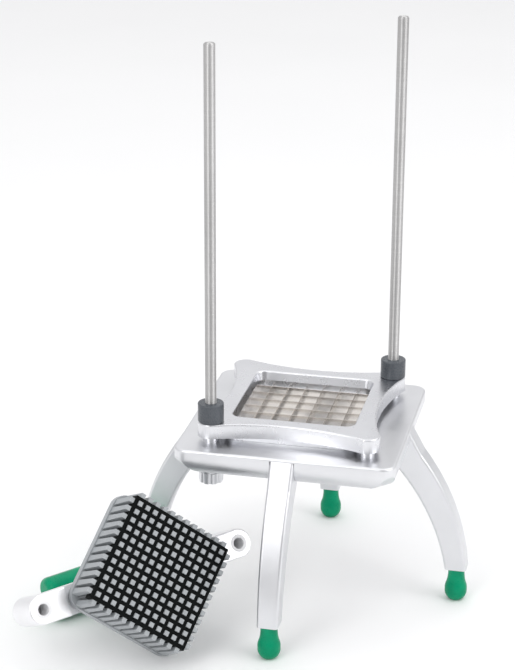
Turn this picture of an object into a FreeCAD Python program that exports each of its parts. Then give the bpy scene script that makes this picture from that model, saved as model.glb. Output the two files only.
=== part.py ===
import FreeCAD, Part
import math
import os
import re

import Sketcher

# A push-down vegetable dicer: a square cast base on four curved legs, a bladed
# frame on the base, two guide rods, and a loose pusher head set down at the
# front left. Lengths are in millimetres. Base parts are drawn about the base's
# centre with the floor at z = 0; head parts are drawn about the middle of the
# line between the two guide bores, with x towards the right-hand bore and z
# away from the fingers.

VALUES = {
    "centre_x": 25.65, "centre_y": 28.77,
    "base_half": 79, "base_top": 134.4, "base_plate": 6, "base_round": 10, "base_edge": 1.8,
    "skirt_low": 114.4, "skirt_roll": 13.5, "skirt_wall": 5, "corner_half": 110, "corner_roll": 24,
    "mouth_round": 20, "screw_pillar_low": 119.4,
    "throat_half": 53.2, "throat_round": 15,
    "rod_offset": 56, "pillar_radius": 9, "pillar_low": 112.4,
    "rod_radius": 3.97, "shank_radius": 3.4, "shank_hole": 3.45,
    "rod_top": 420.2, "rod_shoulder": 163.1, "rod_low": 105.2, "rod_chamfer": 1,
    "bumper_radius": 9.25, "bumper_bevel": 0.9,
    "frame_low": 138.6, "frame_top": 149.2, "frame_half": 65.3, "frame_round": 9.3,
    "bow_radius": 155, "waist_half": 55.2, "bow_ease": 3, "frame_edge": 1.2,
    "aperture_half": 44.45, "aperture_round": 7, "aperture_bevel": 1.2,
    "ledge_half": 42.6, "ledge_round": 5.2, "aperture_draft": 16.1,
    "post_radius": 5.5, "frame_screw_radius": 2.5, "frame_screw_head": 4.4,
    "carrier_half": 53, "carrier_round": 14.8, "carrier_low": 128.4, "carrier_high": 138.5,
    "blade_pitch": 12.7, "blade_count": 6, "blade_thickness": 0.7, "blade_slot": 0.8,
    "blade_reach": 50, "slot_reach": 50.2, "upper_low": 135.6, "upper_high": 142.7, "slot_high": 142.8,
    "lower_low": 133.3, "lower_high": 140.3, "blade_ease": 0.05,
    "knob_radius": 8.7, "knob_low": 103.3, "knob_high": 111.1, "knob_bore": 3.48,
    "knob_flutes": 9, "flute_radius": 2.2, "flute_circle": 10.1, "washer_thickness": 1,
    "leg_width": 17.6, "ankle_width": 15.2, "leg_round": 2.2,
    "tongue_x": 55, "tongue_top": 128.4, "tongue_low": 120.4,
    "notch_x": 72, "notch_top": 132.4, "hip_x": 79.1, "outer_x": 88.5, "outer_z": 115.4,
    "ankle_outer_x": 123.6, "ankle_inner_x": 107.7, "ankle_z": 25.9, "inner_x": 69, "inner_z": 105.9,
    "outer_bend": 170, "inner_bend": 160, "spigot_radius": 4.6, "spigot_low": 8,
    "leg_screw_x": 61, "leg_screw_radius": 2.4, "leg_screw_head": 4.2, "screw_head_depth": 3,
    "foot_circle": 115.9, "foot_pad": 4.4, "foot_bulb": 8.15, "bulb_z": 7.8, "bulb_bend": 8.3,
    "shoulder_x": 7.4, "shoulder_z": 13, "shoulder_bend": 11, "foot_neck": 6.25, "neck_z": 18.6,
    "neck_bend": 18, "foot_cuff": 6.7, "foot_high": 25.9,
    "head_x": -89.66, "head_y": -116.72, "head_z": 53.36,
    "head_yaw": 46.27, "head_rise": 2.45, "head_tilt": 27.81,
    "bore_offset": 79.196, "boss_radius": 10.6, "boss_length": 31.5, "boss_edge": 1.2,
    "arm_half": 10.4, "arm_back": 13, "recess_radius": 61, "recess_depth": 4.5, "hub_radius": 41,
    "rib_half": 3, "rib_back": 21, "rib_start": 24, "rib_end": 68,
    "bushing_radius": 6.4, "bushing_bore": 4.05, "bushing_length": 13,
    "block_half": 43.8, "block_round": 10, "block_front": -1.5,
    "finger_pitch": 6.35, "finger_count": 14, "finger_width": 3.3, "finger_root": 4.3,
    "finger_tip": -27.9, "finger_drop": 1.6,
    "gasket_width": 2.6, "gasket_front": -26.9, "gasket_back": -19,
    "block_screw_circle": 30, "block_screw_radius": 2.4, "block_screw_head": 4.4,
    "stem_half": 13, "stem_depth": 7, "stem_flange_half": 23, "stem_flange": 5,
    "grip_axis": 77, "core_radius": 6.5, "core_half": 37, "grip_hole": 6.55,
    "grip_half": 43, "grip_wide": 15.5, "grip_thick": 11, "grip_round": 9.5, "grip_end": 5,
    "stem_screw_x": 18.5, "stem_screw_radius": 2.4, "stem_screw_head": 4.2,
}

doc = FreeCAD.newDocument("dicer")
sheet = doc.addObject("Spreadsheet::Sheet", "Sheet")
for row, (alias, value) in enumerate(VALUES.items(), start=1):
    sheet.set(f"A{row}", alias)
    sheet.set(f"B{row}", str(value))
    sheet.setAlias(f"B{row}", alias)
doc.recompute()

NODES = {}
WORD = re.compile(r"\b[a-z]+_[a-z_]+\b")


def formula(text):
    """Turns sheet names in a length into references to the sheet."""
    return WORD.sub(lambda m: "Sheet." + m.group(0), str(text))


def number(text):
    """The present value of a length written with sheet names."""
    return float(sheet.evalExpression(formula(text)))


def bind(item, **lengths):
    for name, text in lengths.items():
        item.setExpression(name.replace("__", "."), formula(text))
    return item


def at(item, x=0, y=0, z=0):
    return bind(item, Placement__Base__x=x, Placement__Base__y=y, Placement__Base__z=z)


def box(x, y, z):
    """A block between two lengths along each axis."""
    item = doc.addObject("Part::Box", "Block")
    bind(item, Length=f"({x[1]}) - ({x[0]})", Width=f"({y[1]}) - ({y[0]})", Height=f"({z[1]}) - ({z[0]})")
    return at(item, x[0], y[0], z[0])


def square(half, z):
    return box((f"-({half})", half), (f"-({half})", half), z)


def rod(radius, z, x=0, y=0):
    """An upright cylinder."""
    item = doc.addObject("Part::Cylinder", "Round")
    bind(item, Radius=radius, Height=f"({z[1]}) - ({z[0]})")
    return at(item, x, y, z[0])


def cross_rod(radius, x, z):
    """A cylinder along x."""
    item = doc.addObject("Part::Cylinder", "Round")
    bind(item, Radius=radius, Height=f"({x[1]}) - ({x[0]})")
    item.Placement = FreeCAD.Placement(FreeCAD.Vector(), FreeCAD.Rotation(FreeCAD.Vector(0, 1, 0), 90))
    return at(item, x[0], 0, z)


def joined(parts):
    item = doc.addObject("Part::MultiFuse", "Joined")
    item.Shapes = parts
    item.Refine = True
    return item


def group(parts):
    """Separate solids that share one node."""
    item = doc.addObject("Part::Compound", "Group")
    item.Links = parts
    return item


def cut(body, tools):
    item = doc.addObject("Part::Cut", "Trimmed")
    item.Base = body
    item.Tool = tools[0] if len(tools) == 1 else group(tools)
    item.Refine = True
    return item


def eased(body, radius, wanted):
    """Rounds the edges that the test picks, by a length from the sheet."""
    doc.recompute()
    item = doc.addObject("Part::Fillet", "Eased")
    item.Base = body
    r = number(radius)
    item.Edges = [(k, r, r) for k, edge in enumerate(body.Shape.Edges, start=1) if wanted(edge)]
    return item


def bevelled(body, size, wanted):
    doc.recompute()
    item = doc.addObject("Part::Chamfer", "Bevelled")
    item.Base = body
    s = number(size)
    item.Edges = [(k, s, s) for k, edge in enumerate(body.Shape.Edges, start=1) if wanted(edge)]
    return item


def upright(edge):
    """True for a straight edge along z."""
    if not isinstance(edge.Curve, Part.Line):
        return False
    return abs(edge.Curve.Direction.z) > 0.999


def level(edge, z, reach=None):
    """True for an edge that lies at height z, and outside the reach if one is given."""
    low, high = edge.BoundBox.ZMin, edge.BoundBox.ZMax
    if abs(low - z) > 0.01 or abs(high - z) > 0.01:
        return False
    middle = edge.valueAt((edge.FirstParameter + edge.LastParameter) / 2)
    return reach is None or max(abs(middle.x), abs(middle.y)) > reach


def rounded(half, corner, z):
    """A square slab with rounded upright edges."""
    return eased(square(half, z), corner, upright)


def corners(offset):
    return [(f"{sx}*({offset})", f"{sy}*({offset})") for sx in (-1, 1) for sy in (-1, 1)]


def outline(points, bends=None, plane=None):
    """A closed sketch through points; bends gives the radius of edges that are arcs."""
    sketch = doc.addObject("Sketcher::SketchObject", "Outline")
    sketch.Placement = plane or FreeCAD.Placement()
    bends = bends or {}
    spots = [(number(x), number(y)) for x, y in points]
    ends = []
    for k, here in enumerate(spots):
        there = spots[(k + 1) % len(spots)]
        ends.append(edge_between(sketch, here, there, bends.get(k)))
    for k, (first, last) in enumerate(ends):
        following = ends[(k + 1) % len(ends)][0]
        sketch.addConstraint(Sketcher.Constraint("Coincident", last[0], last[1], following[0], following[1]))
    for k, (first, last) in enumerate(ends):
        fix_point(sketch, first, points[k], spots[k])
        if k in bends:
            mark = sketch.addConstraint(Sketcher.Constraint("Radius", first[0], abs(number(bends[k]))))
            sketch.setExpression(f"Constraints[{mark}]", f"abs({formula(bends[k])})")
    return sketch


def edge_between(sketch, here, there, bend):
    """Adds a line, or an arc that bulges to the right of travel for a positive bend."""
    a = FreeCAD.Vector(here[0], here[1], 0)
    b = FreeCAD.Vector(there[0], there[1], 0)
    if bend is None:
        geo = sketch.addGeometry(Part.LineSegment(a, b), False)
        return (geo, 1), (geo, 2)
    radius = number(bend)
    chord = b - a
    middle = (a + b) * 0.5
    side = FreeCAD.Vector(-chord.y, chord.x, 0).normalize()
    away = math.sqrt(radius * radius - chord.Length ** 2 / 4)
    centre = middle + side * (away if radius > 0 else -away)
    circle = Part.Circle(centre, FreeCAD.Vector(0, 0, 1), abs(radius))
    start, stop = (a, b) if radius > 0 else (b, a)
    angles = [math.atan2(p.y - centre.y, p.x - centre.x) for p in (start, stop)]
    geo = sketch.addGeometry(Part.ArcOfCircle(circle, angles[0], angles[1]), False)
    return ((geo, 1), (geo, 2)) if radius > 0 else ((geo, 2), (geo, 1))


def fix_point(sketch, spot, words, values):
    """Ties a corner to the sheet, or to an axis where its length is nought."""
    ways = (("DistanceX", -2, words[0], values[0]), ("DistanceY", -1, words[1], values[1]))
    for kind, axis, text, value in ways:
        if abs(value) < 1e-9:
            sketch.addConstraint(Sketcher.Constraint("PointOnObject", spot[0], spot[1], axis))
            continue
        mark = sketch.addConstraint(Sketcher.Constraint(kind, -1, 1, spot[0], spot[1], value))
        sketch.setExpression(f"Constraints[{mark}]", formula(text))


def keep(item, name, place):
    """Names a finished sub-part and puts it in the dicer's frame."""
    item.Label = name
    item.Placement = place
    NODES[name] = item


def base_place(turn=0):
    spin = FreeCAD.Rotation(FreeCAD.Vector(0, 0, 1), turn)
    return FreeCAD.Placement(FreeCAD.Vector(number("centre_x"), number("centre_y"), 0), spin)


def head_place(turn=0):
    """Where the head lies, after a turn about its own z in degrees."""
    spot = FreeCAD.Vector(number("centre_x + head_x"), number("centre_y + head_y"), number("head_z"))
    lie = FreeCAD.Rotation(number("head_yaw"), -number("head_rise"), -90 - number("head_tilt"))
    return FreeCAD.Placement(spot, lie * FreeCAD.Rotation(FreeCAD.Vector(0, 0, 1), turn))


def quarter_turns(item):
    """A sub-part's feature repeated on all four sides."""
    copies = []
    for quarter in range(4):
        turned = doc.addObject("Part::Compound", "Turned")
        turned.Links = [item]
        turned.Placement = FreeCAD.Placement(FreeCAD.Vector(), FreeCAD.Rotation(90 * quarter, 0, 0))
        copies.append(turned)
    return copies


def roll_prism(half, roll, z, angle):
    """A long bar, level at the turn given, whose two sides roll under to its lower face."""
    low, top = z
    points = [
        (f"-({half}) + {roll}", low), (f"{half} - {roll}", low), (half, f"{low} + {roll}"), (half, top),
        (f"-({half})", top), (f"-({half})", f"{low} + {roll}"),
    ]
    plane = FreeCAD.Placement(FreeCAD.Vector(), FreeCAD.Rotation(angle, 0, 90))
    prism = doc.addObject("Part::Extrusion", "Prism")
    prism.Base = outline(points, {1: roll, 5: roll}, plane)
    prism.DirMode = "Normal"
    prism.Solid = True
    prism.Symmetric = True
    return bind(prism, LengthFwd=f"2 * ({half}) + 10")


def rolled(half, roll, z):
    """A square slab and the two bars that roll its four sides under, to be intersected."""
    return [rounded(half, "base_round", z)] + [roll_prism(half, roll, z, angle) for angle in (0, 90)]


def shared(parts):
    """What several solids have in common."""
    item = doc.addObject("Part::MultiCommon", "Shared")
    item.Shapes = parts
    return item


def base_casting():
    corner_z = ("skirt_low", "base_top + 6")
    corner_bars = [roll_prism("corner_half", "corner_roll", corner_z, angle) for angle in (45, 135)]
    slab = shared(rolled("base_half", "skirt_roll", ("skirt_low", "base_top")) + corner_bars)
    slab = eased(slab, "base_edge", lambda e: level(e, number("base_top"), 60))
    hollow = shared(rolled("base_half - skirt_wall", "(skirt_roll - skirt_wall)",
                           ("(skirt_low + skirt_wall)", "base_top - base_plate")))
    mouth = rounded("base_half - skirt_roll", "mouth_round", ("skirt_low - 1", "skirt_low + skirt_wall + 1"))
    shell = cut(slab, [hollow, mouth])
    pillars = []
    for x, y in corners("rod_offset"):
        low = "pillar_low" if x == y else "screw_pillar_low"
        pillars.append(rod("pillar_radius", (low, "base_top - base_plate"), x, y))
    body = joined([shell] + pillars)
    tools = [rounded("throat_half", "throat_round", ("carrier_low - 1", "base_top + 1"))]
    holes = []
    for x, y in corners("rod_offset"):
        bore = "shank_hole" if x == y else "frame_screw_radius"
        holes.append(rod(bore, ("pillar_low - 1", "base_top + 1"), x, y))
    width = ("-leg_width / 2", "leg_width / 2")
    notches = quarter_turns(box(("notch_x", "base_half + 5"), width, ("skirt_low - 1", "notch_top")))
    notches += quarter_turns(box(("tongue_x", "notch_x + 1"), width, ("skirt_low - 1", "tongue_top")))
    keep(cut(body, tools + holes + notches), "base_casting", base_place())


def narrowing():
    """A wedge about a leg, which makes the leg narrower towards its ankle."""
    wedge = doc.addObject("Part::Wedge", "Narrowing")
    near, far = "tongue_x - 5", "ankle_outer_x + 5"
    bind(wedge, Xmin=near, X2min=near, Xmax=far, X2max=far, Ymin="ankle_z", Ymax="notch_top")
    bind(wedge, Zmin="-ankle_width / 2", Zmax="ankle_width / 2", Z2min="-leg_width / 2", Z2max="leg_width / 2")
    wedge.Placement = FreeCAD.Placement(FreeCAD.Vector(), FreeCAD.Rotation(0, 0, 90))
    return wedge


def leg(name, turn):
    upright_plane = FreeCAD.Placement(FreeCAD.Vector(), FreeCAD.Rotation(FreeCAD.Vector(1, 0, 0), 90))
    points = [
        ("tongue_x", "tongue_low"), ("inner_x - 6", "tongue_low - 4"), ("inner_x", "inner_z"),
        ("ankle_inner_x", "ankle_z"), ("ankle_outer_x", "ankle_z"), ("outer_x", "outer_z"),
        ("hip_x", "notch_top"), ("notch_x", "notch_top"), ("notch_x", "tongue_top"), ("tongue_x", "tongue_top"),
    ]
    sketch = outline(points, {2: "-inner_bend", 4: "outer_bend"}, upright_plane)
    web = doc.addObject("Part::Extrusion", "Web")
    web.Base = sketch
    web.DirMode = "Normal"
    web.Solid = True
    web.Symmetric = True
    bind(web, LengthFwd="leg_width + 2")
    limit = number("ankle_width") / 2 - 0.1

    def long_edge(edge):
        middle = edge.valueAt((edge.FirstParameter + edge.LastParameter) / 2)
        return abs(middle.y) > limit and edge.Length > 18

    body = eased(shared([web, narrowing()]), "leg_round", long_edge)
    spigot = rod("spigot_radius", ("spigot_low", "ankle_z + 4"), "foot_circle")
    hole = rod("leg_screw_radius", ("tongue_low - 6", "tongue_top + 1"), "leg_screw_x")
    seat = rod("leg_screw_head + 0.2", ("tongue_low - 20", "tongue_low"), "leg_screw_x")
    keep(cut(joined([body, spigot]), [hole, seat]), name, base_place(turn))


def foot(name, turn):
    points = [
        (0, 0), ("foot_pad", 0), ("foot_bulb", "bulb_z"), ("shoulder_x", "shoulder_z"),
        ("foot_neck", "neck_z"), ("foot_cuff", "foot_high"), (0, "foot_high"),
    ]
    plane = FreeCAD.Placement(FreeCAD.Vector(), FreeCAD.Rotation(FreeCAD.Vector(1, 0, 0), 90))
    bends = {1: "bulb_bend", 2: "shoulder_bend", 3: "-neck_bend", 4: "-neck_bend"}
    sketch = outline(points, bends, plane)
    turned = doc.addObject("Part::Revolution", "Boot")
    turned.Source = sketch
    turned.Axis = FreeCAD.Vector(0, 0, 1)
    turned.Angle = 360
    turned.Solid = True
    boot = cut(turned, [rod("spigot_radius", ("spigot_low", "foot_high + 1"))])
    moved = doc.addObject("Part::Compound", "Moved")
    moved.Links = [at(boot, "foot_circle", 0, 0)]
    keep(moved, name, base_place(turn))


def leg_screws():
    screws = []
    for quarter in range(4):
        x, y = (("leg_screw_x", 0), (0, "leg_screw_x"), ("-leg_screw_x", 0), (0, "-leg_screw_x"))[quarter]
        shank = rod("leg_screw_radius", ("tongue_low", "tongue_top"), x, y)
        head = rod("leg_screw_head", ("tongue_low - screw_head_depth", "tongue_low"), x, y)
        screws.append(joined([shank, head]))
    keep(group(screws), "leg_screws", base_place())


def guide_rod(name, side):
    x = side + "rod_offset"
    shank = rod("shank_radius", ("rod_low", "rod_shoulder"), x, x)
    shaft = rod("rod_radius", ("rod_shoulder", "rod_top"), x, x)
    shaft = bevelled(shaft, "rod_chamfer", lambda e: level(e, number("rod_top")))
    keep(joined([shank, shaft]), name, base_place())


def bumper(name, side):
    x = side + "rod_offset"
    ring = rod("bumper_radius", ("frame_top", "rod_shoulder"), x, x)
    ends = (number("rod_shoulder"), number("frame_top"))
    ring = eased(ring, "bumper_bevel", lambda e: level(e, ends[0]) or level(e, ends[1]))
    keep(cut(ring, [rod("shank_radius", ("frame_top - 1", "rod_shoulder + 1"), x, x)]), name, base_place())


def rod_knob(name, side):
    x = side + "rod_offset"
    disc = rod("knob_radius", ("knob_low", "knob_high"), x, x)
    flutes = []
    for k in range(int(number("knob_flutes"))):
        angle = 2 * math.pi * k / number("knob_flutes")
        dx = f"({side}rod_offset) + flute_circle * {math.cos(angle):.6f}"
        dy = f"({side}rod_offset) + flute_circle * {math.sin(angle):.6f}"
        flutes.append(rod("flute_radius", ("knob_low - 1", "knob_high + 1"), dx, dy))
    bore = rod("knob_bore", ("rod_low - 0.4", "knob_high + 1"), x, x)
    keep(cut(disc, flutes + [bore]), name, base_place())


def rod_washers():
    rings = []
    for side in ("-", ""):
        x = side + "rod_offset"
        ring = rod("knob_radius", ("pillar_low - washer_thickness", "pillar_low"), x, x)
        rings.append(cut(ring, [rod("shank_hole", ("knob_low", "base_top"), x, x)]))
    keep(group(rings), "rod_washers", base_place())


def frame_posts():
    posts = []
    for x, y in corners("rod_offset"):
        on_rod = x == y
        hole = "shank_hole" if on_rod else "frame_screw_radius"
        post = rod("post_radius", ("base_top", "frame_low"), x, y)
        posts.append(cut(post, [rod(hole, ("base_top - 1", "frame_low + 1"), x, y)]))
    keep(group(posts), "frame_posts", base_place())


def frame_screws():
    screws = []
    for s, t in (("-", ""), ("", "-")):
        x, y = s + "rod_offset", t + "rod_offset"
        shank = rod("frame_screw_radius", ("screw_pillar_low", "frame_low + 6"), x, y)
        head = rod("frame_screw_head", ("screw_pillar_low - screw_head_depth", "screw_pillar_low"), x, y)
        screws.append(joined([shank, head]))
    keep(group(screws), "frame_screws", base_place())


def blade_slots(z, along_x, reach):
    """Slots for a set of blades, cut through a ring on two opposite sides."""
    cuts = []
    count = int(number("blade_count"))
    for k in range(count):
        middle = f"blade_pitch * {k - (count - 1) / 2}"
        across = (f"{middle} - blade_slot / 2", f"{middle} + blade_slot / 2")
        along = (f"-{reach}", reach)
        cuts.append(box(along, across, z) if along_x else box(across, along, z))
    return cuts


def where_bow_meets_corner(edge):
    spot = edge.CenterOfMass
    near, far = sorted((abs(spot.x), abs(spot.y)))
    return far > number("frame_half") - 0.01 and near < number("frame_half - frame_round") - 0.1


def drafted_opening():
    """The opening above the blades: its walls lean outwards to the top face."""
    a, r = "ledge_half", "ledge_round"
    side = ((f"-{a} + {r}", f"-{a}"), (f"{a} - {r}", f"-{a}"), (a, f"-{a} + {r}"), (a, f"{a} - {r}"))
    back = ((f"{a} - {r}", a), (f"-{a} + {r}", a), (f"-{a}", f"{a} - {r}"), (f"-{a}", f"-{a} + {r}"))
    funnel = doc.addObject("Part::Extrusion", "Funnel")
    funnel.Base = at(outline(side + back, {1: r, 3: r, 5: r, 7: r}), 0, 0, "slot_high")
    funnel.DirMode = "Normal"
    funnel.Solid = True
    return bind(funnel, LengthFwd="frame_top + 1 - slot_high", TaperAngle="aperture_draft")


def blade_frame():
    far = "waist_half + bow_radius"
    over = ("frame_low - 1", "frame_top + 1")
    spots = ((far, 0), (f"-({far})", 0), (0, far), (0, f"-({far})"))
    bows = [rod("bow_radius", over, x, y) for x, y in spots]
    plate = cut(rounded("frame_half", "frame_round", ("frame_low", "frame_top")), bows)
    plate = eased(plate, "bow_ease", lambda e: upright(e) and where_bow_meets_corner(e))
    plate = eased(plate, "frame_edge", lambda e: level(e, number("frame_top")))
    tools = [rounded("ledge_half", "ledge_round", ("frame_low - 1", "slot_high + 0.1")), drafted_opening()]
    for x, y in corners("rod_offset"):
        blind = ("frame_low - 1", "frame_low + 6")
        tools.append(rod("shank_hole", over, x, y) if x == y else rod("frame_screw_radius", blind, x, y))
    tools += blade_slots(("frame_low - 1", "slot_high"), True, "slot_reach")
    tools += blade_slots(("frame_low - 1", "lower_high + 0.1"), False, "slot_reach")
    opened = cut(plate, tools)
    inside = number("aperture_half") + 0.5

    def rim(edge):
        middle = edge.valueAt((edge.FirstParameter + edge.LastParameter) / 2)
        return level(edge, number("frame_top")) and max(abs(middle.x), abs(middle.y)) < inside

    keep(eased(opened, "aperture_bevel", rim), "blade_frame", base_place())


def blade_carrier():
    ring = rounded("carrier_half", "carrier_round", ("carrier_low", "carrier_high"))
    tools = [rounded("aperture_half", "aperture_round", ("carrier_low - 1", "carrier_high + 1"))]
    tools += blade_slots(("upper_low", "carrier_high + 1"), True, "slot_reach")
    tools += blade_slots(("lower_low", "carrier_high + 1"), False, "slot_reach")
    keep(cut(ring, tools), "blade_carrier", base_place())


def blades(name, z, along_x):
    """Straight strips; those along x are notched from below to sit over the others."""
    strips = []
    notches = blade_slots(("upper_low - 1", "lower_high + blade_ease"), False, "slot_reach")
    count = int(number("blade_count"))
    for k in range(count):
        middle = f"blade_pitch * {k - (count - 1) / 2}"
        across = (f"{middle} - blade_thickness / 2", f"{middle} + blade_thickness / 2")
        along = ("-blade_reach", "blade_reach")
        strips.append(cut(box(along, across, z), notches) if along_x else box(across, along, z))
    keep(group(strips), name, base_place())


def head_casting():
    bosses = [rod("boss_radius", (0, "boss_length"), s + "bore_offset") for s in ("-", "")]
    bosses = [eased(b, "boss_edge", lambda e: level(e, 0) or level(e, number("boss_length"))) for b in bosses]
    arm = box(("-bore_offset", "bore_offset"), ("-arm_half", "arm_half"), (0, "arm_back"))
    arm = eased(arm, "boss_edge", lambda e: level(e, 0) and e.Length > 50)
    hub = rod("hub_radius", ("recess_depth", "arm_back"))
    ribs = [box((a, b), ("-rib_half", "rib_half"), ("arm_back", "rib_back"))
            for a, b in (("-rib_end", "-rib_start"), ("rib_start", "rib_end"))]
    body = joined(bosses + [arm, hub] + ribs)
    tools = [rod("recess_radius", (-5, "recess_depth"))]
    tools += [rod("bushing_radius", (-1, "boss_length + 1"), s + "bore_offset") for s in ("-", "")]
    tools += [rod("block_screw_radius", (0, "arm_back + 1"), x, y) for x, y in block_screw_spots()]
    tools += [rod("stem_screw_radius", (0, "arm_back + 1"), s + "stem_screw_x") for s in ("-", "")]
    keep(cut(body, tools), "head_casting", head_place())


def block_screw_spots():
    spots = []
    for k in range(4):
        angle = math.radians(45 + 90 * k)
        across, along = (f"block_screw_circle * {part(angle):.6f}" for part in (math.cos, math.sin))
        spots.append((across, along))
    return spots


def block_screws():
    screws = []
    for x, y in block_screw_spots():
        shank = rod("block_screw_radius", ("recess_depth - 3", "arm_back"), x, y)
        head = rod("block_screw_head", ("arm_back", "arm_back + screw_head_depth"), x, y)
        screws.append(joined([shank, head]))
    keep(group(screws), "block_screws", head_place())


def bushings(name, low, high):
    sleeves = []
    for side in ("-", ""):
        x = side + "bore_offset"
        sleeve = rod("bushing_radius", (low, high), x)
        sleeves.append(cut(sleeve, [rod("bushing_bore", (f"{low} - 1", f"{high} + 1"), x)]))
    keep(group(sleeves), name, head_place())


def gap_bar(widths, z, half, middle, turn):
    """A bar along x or y in the gap between fingers, with its own width at each end of z."""
    bar = doc.addObject("Part::Wedge", "Gap")
    bind(bar, Xmin=f"-({half})", X2min=f"-({half})", Xmax=half, X2max=half, Ymin=z[0], Ymax=z[1])
    bind(bar, Zmin=f"-({widths[0]}) / 2", Zmax=f"({widths[0]}) / 2")
    bind(bar, Z2min=f"-({widths[1]}) / 2", Z2max=f"({widths[1]}) / 2")
    bar.Placement = FreeCAD.Placement(FreeCAD.Vector(), FreeCAD.Rotation(turn, 0, 90))
    return at(bar, 0, middle, 0) if turn == 0 else at(bar, middle, 0, 0)


def gap_bars(widths, z, half):
    """Bars in all the gaps between fingers, both ways."""
    count = int(number("finger_count"))
    middles = [f"finger_pitch * {k - count / 2}" for k in range(1, count)]
    return [gap_bar(widths, z, half, middle, turn) for middle in middles for turn in (0, 90)]


def pusher_block():
    plate = rounded("block_half", "block_round", ("block_front", "recess_depth"))
    half = "finger_pitch * (finger_count - 1) / 2 + finger_width / 2"
    pins = square(half, ("finger_tip", "block_front"))
    z = ("finger_tip", "block_front")
    widths = ("finger_pitch - finger_width", "finger_pitch - finger_root")
    pins = cut(pins, gap_bars(widths, z, "block_half + 5"))
    last = f"{half} - finger_width - 0.5"
    sides = ((f"-({half}) - 1", f"-({last})"), (last, f"{half} + 1"))
    across = (f"-({half}) - 1", f"{half} + 1")
    missing = [box(sx, sy, ("finger_tip - 1", "block_front")) for sx in sides for sy in sides]
    over = ("finger_tip - 1", "finger_tip + finger_drop")
    missing += [box(side, across, over) for side in sides] + [box(across, side, over) for side in sides]
    pins = cut(pins, missing)
    body = joined([plate, pins])
    r = "block_screw_circle"
    spots = ((r, 0), (f"-{r}", 0), (0, r), (0, f"-{r}"))
    holes = [rod("block_screw_radius", ("recess_depth - 3", "recess_depth + 1"), x, y) for x, y in spots]
    keep(cut(body, holes), "pusher_block", head_place(45))


def cleaning_gasket():
    half = "finger_pitch * (finger_count / 2 - 1) + gasket_width / 2"
    bars = gap_bars(("gasket_width", "gasket_width"), ("gasket_front", "gasket_back"), half)
    keep(joined(bars), "cleaning_gasket", head_place(45))


def handle_stem():
    flange = box(("-stem_flange_half", "stem_flange_half"), ("-arm_half + 1", "arm_half - 1"),
                 ("arm_back", "arm_back + stem_flange"))
    neck = box(("-stem_half", "stem_half"), ("-stem_depth", "stem_depth"), ("arm_back + 1", "grip_axis"))
    neck = eased(neck, "stem_depth / 2", upright)
    core = cross_rod("core_radius", ("-core_half", "core_half"), "grip_axis")
    body = joined([flange, neck, core])
    through = ("arm_back - 1", "arm_back + stem_flange + 1")
    holes = [rod("stem_screw_radius", through, s + "stem_screw_x") for s in ("-", "")]
    keep(cut(body, holes), "handle_stem", head_place())


def stem_screws():
    screws = []
    for side in ("-", ""):
        x = side + "stem_screw_x"
        top = "arm_back + stem_flange"
        shank = rod("stem_screw_radius", ("recess_depth + 0.5", top), x)
        head = rod("stem_screw_head", (top, f"{top} + screw_head_depth"), x)
        screws.append(joined([shank, head]))
    keep(group(screws), "stem_screws", head_place())


def handle_grip():
    body = box(("-grip_half", "grip_half"), ("-grip_wide", "grip_wide"),
               ("grip_axis - grip_thick", "grip_axis + grip_thick"))
    body = eased(body, "grip_round", lambda e: e.BoundBox.XLength > 10)
    reach = number("grip_half")
    body = eased(body, "grip_end", lambda e: abs(abs(e.CenterOfMass.x) - reach) < 0.01)
    core = cross_rod("grip_hole", ("-core_half", "core_half"), "grip_axis")
    slot = box(("-stem_half", "stem_half"), ("-stem_depth", "stem_depth"), ("arm_back", "grip_axis"))
    keep(cut(body, [core, slot]), "handle_grip", head_place())


def build():
    base_casting()
    for name, turn in (("right", 0), ("back", 90), ("left", 180), ("front", 270)):
        leg("leg_" + name, turn)
        foot("foot_" + name, turn)
    leg_screws()
    for name, side in (("left", "-"), ("right", "")):
        guide_rod("guide_rod_" + name, side)
        bumper("bumper_" + name, side)
        rod_knob("rod_knob_" + name, side)
    rod_washers()
    frame_posts()
    frame_screws()
    blade_frame()
    blade_carrier()
    blades("upper_blades", ("upper_low", "upper_high"), True)
    blades("lower_blades", ("lower_low", "lower_high"), False)
    head_casting()
    bushings("lower_bushings", "0", "bushing_length")
    bushings("upper_bushings", "boss_length - bushing_length", "boss_length")
    pusher_block()
    cleaning_gasket()
    block_screws()
    handle_stem()
    stem_screws()
    handle_grip()


def check_and_write():
    doc.recompute()
    for item in doc.Objects:
        if "Invalid" in item.State or "Error" in item.State:
            raise RuntimeError(f"{item.Label} did not build: {item.State}")
    os.makedirs("parts", exist_ok=True)
    for name, item in NODES.items():
        shape = item.Shape
        if shape.isNull() or not shape.isValid() or not shape.Solids:
            raise RuntimeError(f"{name} has no valid solid")
        shape.exportStep(f"parts/{name}.step")


build()
check_and_write()
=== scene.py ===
import math

import bpy
from mathutils import Matrix, Vector

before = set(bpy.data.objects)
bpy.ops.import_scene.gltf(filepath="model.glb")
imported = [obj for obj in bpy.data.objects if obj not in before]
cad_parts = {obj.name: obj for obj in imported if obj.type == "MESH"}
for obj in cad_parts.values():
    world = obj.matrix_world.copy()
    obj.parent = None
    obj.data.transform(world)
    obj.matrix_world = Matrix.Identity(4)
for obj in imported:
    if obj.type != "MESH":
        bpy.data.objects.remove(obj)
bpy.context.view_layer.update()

# The viewpoint, in the row frame, in metres and radians: a long lens (in millimetres) that looks
# down at the object from the front, a little to its right.
CAMERA_PLACE = Vector((0.28957, -1.31324, 0.71961))
CAMERA_AZIMUTH = 0.21918
CAMERA_ELEVATION = 0.36464
CAMERA_ROLL = 0.00445
CAMERA_LENS = 109.61
CAMERA_SENSOR = 36.0

FLOOR_REACH = 9.0

# Blender's noise stays mostly between these two values.
NOISE_LOW = 0.3
NOISE_HIGH = 0.7

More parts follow.
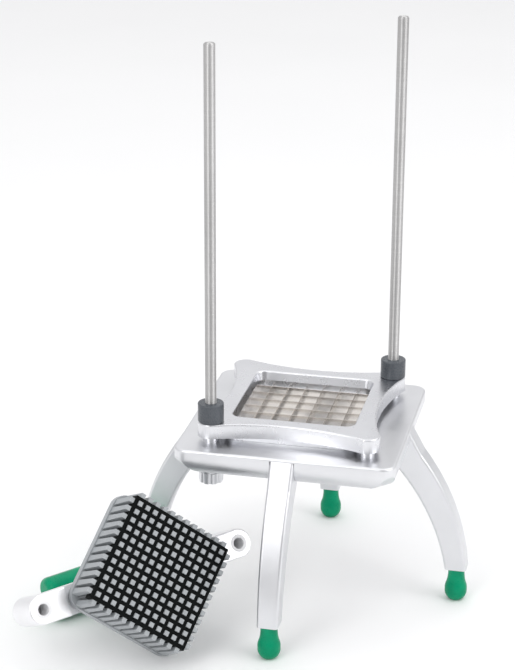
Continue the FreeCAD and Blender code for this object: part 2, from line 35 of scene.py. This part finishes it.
# The room's grey at each height, from the horizon (0) to straight overhead (1).
ROOM_TONES = ((0.0, 0.6), (1.0, 0.95), (0.1, 0.64), (0.3, 0.92))
ROOM_BLUENESS = 1.01
ROOM_STRENGTH = 0.97
BACKDROP_TONE = 0.97

# Towards the camera the room's light falls to this share. It falls between these two cosines of
# the angle from the camera's side.
FRONT_DIM = 0.5
FRONT_COSINES = (0.55, 0.95)

# Each softbox: azimuth and elevation in degrees, distance, width and height in metres, watts.
SOFTBOXES = {
    "left_softbox": (-24, 34, 1.9, 0.8, 1.6, 9),
    "right_softbox": (76, 32, 1.9, 1.2, 1.6, 10),
    "top_softbox": (170, 68, 2.0, 2.0, 2.0, 7),
}
SOFTBOX_TARGET = Vector((0.0, 0.0, 0.15))


def direction(azimuth, elevation):
    """The unit vector towards a place seen at these two angles, in radians."""
    across = math.cos(elevation)
    return Vector((math.sin(azimuth) * across, -math.cos(azimuth) * across, math.sin(elevation)))


def set_stops(ramp, stops):
    """Puts (place, colour) stops on a new colour ramp."""
    for i, (place, colour) in enumerate(stops):
        stop = ramp.elements[i] if i < 2 else ramp.elements.new(place)
        stop.position = place
        stop.color = (*colour, 1.0)


# ---------------------------------------------------------------- node helpers

class Recipe:
    """A material's node tree, with short calls for the nodes the finishes below share."""

    def __init__(self, name):
        self.material = bpy.data.materials.new(name)
        self.material.use_nodes = True
        self.tree = self.material.node_tree
        self.shader = self.tree.nodes["Principled BSDF"]
        self.coords = self.add("ShaderNodeTexCoord").outputs["Object"]

    def add(self, kind, **settings):
        node = self.tree.nodes.new(kind)
        for key, value in settings.items():
            setattr(node, key, value)
        return node

    def link(self, source, target):
        self.tree.links.new(source, target)

    def constants(self, **values):
        for key, value in values.items():
            self.shader.inputs[key.replace("_", " ")].default_value = value

    def stretched(self, scale):
        """The object's own coordinates, scaled by a different amount along each axis."""
        node = self.add("ShaderNodeMapping")
        node.inputs["Scale"].default_value = scale
        self.link(self.coords, node.inputs["Vector"])
        return node.outputs["Vector"]

    def noise(self, size, detail=3.0, coords=None, roughness=0.5):
        """Noise whose features are about `size` metres across."""
        node = self.add("ShaderNodeTexNoise")
        node.inputs["Scale"].default_value = 1.0 / size
        node.inputs["Detail"].default_value = detail
        node.inputs["Roughness"].default_value = roughness
        self.link(coords or self.coords, node.inputs["Vector"])
        return node.outputs["Fac"]

    def levels(self, noise, low, high):
        """Spreads a noise over low..high."""
        node = self.add("ShaderNodeMapRange")
        node.inputs["From Min"].default_value = NOISE_LOW
        node.inputs["From Max"].default_value = NOISE_HIGH
        node.inputs["To Min"].default_value = low
        node.inputs["To Max"].default_value = high
        self.link(noise, node.inputs["Value"])
        return node.outputs["Result"]

    def tones(self, noise, low, high):
        """Spreads a noise over two colours."""
        node = self.add("ShaderNodeValToRGB")
        set_stops(node.color_ramp, ((NOISE_LOW, low), (NOISE_HIGH, high)))
        self.link(noise, node.inputs["Fac"])
        return node.outputs["Color"]

    def bump(self, noise, depth):
        """Relief of `depth` metres."""
        node = self.add("ShaderNodeBump")
        node.inputs["Strength"].default_value = 1.0
        node.inputs["Distance"].default_value = depth
        self.link(noise, node.inputs["Height"])
        return node.outputs["Normal"]

    def finish(self, colour=None, roughness=None, normal=None):
        inputs = self.shader.inputs
        for source, name in ((colour, "Base Color"), (roughness, "Roughness"), (normal, "Normal")):
            if source is not None:
                self.link(source, inputs[name])
        return self.material


def shade(colour, amount):
    return tuple(min(1.0, channel * amount) for channel in colour)


# ---------------------------------------------------------------- finishes

def cast_metal(name, tint, polish, waves):
    """Cast aluminium, buffed: cloudy roughness about `polish`, and slow waves left by the wheel."""
    r = Recipe(name)
    clouds = r.noise(0.035, detail=3.0)
    smears = r.noise(0.009, detail=3.0)
    swell = r.noise(0.022, detail=1.0)
    colour = r.tones(clouds, shade(tint, 0.96), shade(tint, 1.02))
    roughness = r.levels(smears, polish - 0.02, polish + 0.025)
    r.constants(Metallic=1.0)
    return r.finish(colour, roughness, r.bump(swell, waves))


def ground_rod(name, tint):
    """Centreless-ground bar: hair-fine rings round its length."""
    r = Recipe(name)
    rings = r.noise(0.0007, detail=4.0, coords=r.stretched((0.02, 0.02, 1.0)), roughness=0.7)
    runs = r.noise(0.02, detail=3.0, coords=r.stretched((1.0, 1.0, 0.25)))
    colour = r.tones(rings, shade(tint, 0.93), shade(tint, 1.04))
    roughness = r.levels(runs, 0.46, 0.54)
    normal = r.bump(rings, 0.000002)
    tangent = r.add("ShaderNodeTangent", direction_type="RADIAL", axis="Z")
    r.link(tangent.outputs["Tangent"], r.shader.inputs["Tangent"])
    r.constants(Metallic=1.0, Anisotropic=1.0, Anisotropic_Rotation=0.25)
    return r.finish(colour, roughness, normal)


def blade_strip(name, tint, along):
    """Rolled stainless strip: grain along its length (axis 0 or 1), with lighter and darker patches."""
    r = Recipe(name)
    stretch = [1.0, 1.0, 1.0]
    stretch[along] = 0.03
    grain = r.noise(0.0006, detail=4.0, coords=r.stretched(stretch), roughness=0.6)
    patches = r.noise(0.014, detail=2.0)
    colour = r.tones(patches, shade(tint, 0.93), shade(tint, 1.03))
    roughness = r.levels(grain, 0.13, 0.2)
    normal = r.bump(grain, 0.0000005)
    r.constants(Metallic=1.0)
    return r.finish(colour, roughness, normal)


def plain_steel(name, tint):
    """Bright zinc-plated fastener steel."""
    r = Recipe(name)
    cloud = r.noise(0.002, detail=4.0)
    colour = r.tones(cloud, shade(tint, 0.85), shade(tint, 1.1))
    r.constants(Metallic=1.0)
    return r.finish(colour, r.levels(cloud, 0.26, 0.42), r.bump(cloud, 0.000004))


def rubber(name, tint, gloss, grain, sheen):
    """Moulded rubber of roughness `gloss`: a fine pebble with slow, cloudy changes of tone."""
    r = Recipe(name)
    cloud = r.noise(0.011, detail=3.0)
    pebble = r.noise(grain, detail=3.0)
    colour = r.tones(cloud, shade(tint, 0.86), shade(tint, 1.12))
    roughness = r.levels(pebble, gloss - 0.05, gloss + 0.08)
    r.constants(Specular_IOR_Level=sheen)
    return r.finish(colour, roughness, r.bump(pebble, 0.000004))


def plastic(name, tint, gloss):
    """Moulded plastic of roughness `gloss`, with a very light texture."""
    r = Recipe(name)
    cloud = r.noise(0.02, detail=2.0)
    pebble = r.noise(0.0008, detail=3.0)
    colour = r.tones(cloud, shade(tint, 0.95), shade(tint, 1.03))
    roughness = r.levels(pebble, gloss - 0.04, gloss + 0.06)
    r.constants(Specular_IOR_Level=0.4)
    return r.finish(colour, roughness, r.bump(pebble, 0.000005))


def paint_nodes():
    """Gives every carried-over CAD node its finish."""
    frame_cast = cast_metal("frame_aluminium_polished", (0.75, 0.755, 0.78), polish=0.28, waves=0.00003)
    base_cast = cast_metal("base_aluminium_polished", (0.76, 0.765, 0.785), polish=0.34, waves=0.00003)
    leg_cast = cast_metal("leg_aluminium_buffed", (0.745, 0.75, 0.77), polish=0.38, waves=0.00002)
    head_cast = cast_metal("head_aluminium_satin", (0.90, 0.90, 0.915), polish=0.36, waves=0.00002)
    rod = ground_rod("guide_rod_ground_steel", (0.70, 0.695, 0.69))
    upper = blade_strip("upper_blade_stainless", (0.70, 0.665, 0.63), along=0)
    # The lower blades are the same stainless as the upper ones. Their much darker tint is painted
    # shade, for where they sit deep in the frame under the upper blades.
    lower = blade_strip("lower_blade_stainless_painted_shade", (0.40, 0.38, 0.36), along=1)
    steel = plain_steel("fastener_steel_bright", (0.60, 0.61, 0.63))
    dark = rubber("bumper_rubber_dark", (0.088, 0.097, 0.11), gloss=0.27, grain=0.0009, sheen=0.34)
    green = rubber("foot_rubber_green", (0.0, 0.275, 0.135), gloss=0.3, grain=0.0009, sheen=0.16)
    white = plastic("bushing_plastic_white", (0.86, 0.86, 0.87), gloss=0.38)
    grey = plastic("pusher_plastic_grey", (0.355, 0.375, 0.39), gloss=0.4)
    black = rubber("gasket_rubber_black", (0.004, 0.005, 0.005), gloss=0.55, grain=0.0006, sheen=0.06)
    finishes = {
        frame_cast: "blade_frame blade_carrier frame_posts",
        base_cast: "base_casting",
        leg_cast: "leg_front leg_right leg_back leg_left rod_knob_left rod_knob_right",
        head_cast: "head_casting handle_stem",
        rod: "guide_rod_left guide_rod_right",
        upper: "upper_blades",
        lower: "lower_blades",
        steel: "leg_screws rod_washers frame_screws block_screws stem_screws",
        dark: "bumper_left bumper_right",
        green: "foot_front foot_right foot_back foot_left handle_grip",
        white: "lower_bushings upper_bushings",
        grey: "pusher_block",
        black: "cleaning_gasket",
    }
    for material, names in finishes.items():
        for name in names.split():
            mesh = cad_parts[name].data
            mesh.materials.clear()
            mesh.materials.append(material)


# ---------------------------------------------------------------- studio

def floor():
    mesh = bpy.data.meshes.new("studio_floor")
    r = FLOOR_REACH
    mesh.from_pydata([(-r, -r, 0), (r, -r, 0), (r, r, 0), (-r, r, 0)], [], [(0, 1, 2, 3)])
    obj = bpy.data.objects.new("studio_floor", mesh)
    bpy.context.scene.collection.objects.link(obj)
    recipe = Recipe("pale_floor")
    cloud = recipe.noise(0.4, detail=2.0)
    colour = recipe.tones(cloud, (0.925, 0.925, 0.925), (0.94, 0.94, 0.94))
    recipe.constants(Roughness=0.7, Specular_IOR_Level=0.2)
    mesh.materials.append(recipe.finish(colour))


def world_light():
    """A soft white room: brighter overhead, dimmer low down and in front of the object."""
    world = bpy.data.worlds.new("soft_studio")
    bpy.context.scene.world = world
    world.use_nodes = True
    tree = world.node_tree
    room = tree.nodes["Background"]
    room.inputs["Strength"].default_value = ROOM_STRENGTH
    coords = tree.nodes.new("ShaderNodeTexCoord").outputs["Generated"]

    # Tone by height.
    split = tree.nodes.new("ShaderNodeSeparateXYZ")
    ramp = tree.nodes.new("ShaderNodeValToRGB")
    set_stops(ramp.color_ramp, [(h, (tone, tone, tone * ROOM_BLUENESS)) for h, tone in ROOM_TONES])
    tree.links.new(coords, split.inputs[0])
    tree.links.new(split.outputs["Z"], ramp.inputs["Fac"])

    # Dimming towards the camera.
    front = tree.nodes.new("ShaderNodeVectorMath")
    front.operation = "DOT_PRODUCT"
    front.inputs[1].default_value = direction(CAMERA_AZIMUTH, 0.0)
    dim = tree.nodes.new("ShaderNodeMapRange")
    dim.inputs["From Min"].default_value = FRONT_COSINES[0]
    dim.inputs["From Max"].default_value = FRONT_COSINES[1]
    dim.inputs["To Min"].default_value = 1.0
    dim.inputs["To Max"].default_value = FRONT_DIM
    tone = tree.nodes.new("ShaderNodeVectorMath")
    tone.operation = "SCALE"
    tree.links.new(coords, front.inputs[0])
    tree.links.new(front.outputs["Value"], dim.inputs["Value"])
    tree.links.new(ramp.outputs["Color"], tone.inputs[0])
    tree.links.new(dim.outputs["Result"], tone.inputs["Scale"])
    tree.links.new(tone.outputs["Vector"], room.inputs["Color"])

    # A plain backdrop, which only the camera sees.
    backdrop = tree.nodes.new("ShaderNodeBackground")
    backdrop.inputs["Color"].default_value = (BACKDROP_TONE, BACKDROP_TONE, BACKDROP_TONE, 1.0)
    path = tree.nodes.new("ShaderNodeLightPath")
    mix = tree.nodes.new("ShaderNodeMixShader")
    tree.links.new(path.outputs["Is Camera Ray"], mix.inputs["Fac"])
    tree.links.new(room.outputs[0], mix.inputs[1])
    tree.links.new(backdrop.outputs[0], mix.inputs[2])
    tree.links.new(mix.outputs[0], tree.nodes["World Output"].inputs["Surface"])


def softbox(name, azimuth, elevation, distance, wide, tall, watts):
    """A rectangular soft light that faces the middle of the object."""
    light = bpy.data.lights.new(name, "AREA")
    light.shape = "RECTANGLE"
    light.size = wide
    light.size_y = tall
    light.energy = watts
    obj = bpy.data.objects.new(name, light)
    bpy.context.scene.collection.objects.link(obj)
    back = direction(math.radians(azimuth), math.radians(elevation))
    obj.location = SOFTBOX_TARGET + back * distance
    obj.rotation_mode = "QUATERNION"
    obj.rotation_quaternion = (-back).to_track_quat("-Z", "Y")


def camera():
    data = bpy.data.cameras.new("camera")
    data.lens = CAMERA_LENS
    data.sensor_width = CAMERA_SENSOR
    data.clip_start, data.clip_end = 0.05, 50.0
    obj = bpy.data.objects.new("camera", data)
    bpy.context.scene.collection.objects.link(obj)
    back = direction(CAMERA_AZIMUTH, CAMERA_ELEVATION)
    level = Vector((math.cos(CAMERA_AZIMUTH), math.sin(CAMERA_AZIMUTH), 0.0))
    upright = back.cross(level)
    right = math.cos(CAMERA_ROLL) * level + math.sin(CAMERA_ROLL) * upright
    up = math.cos(CAMERA_ROLL) * upright - math.sin(CAMERA_ROLL) * level
    turn = Matrix((right, up, back)).transposed().to_4x4()
    obj.matrix_world = Matrix.Translation(CAMERA_PLACE) @ turn
    bpy.context.scene.camera = obj


paint_nodes()
floor()
world_light()
for softbox_name, placing in SOFTBOXES.items():
    softbox(softbox_name, *placing)
camera()
bpy.context.scene.view_settings.view_transform = "Standard"
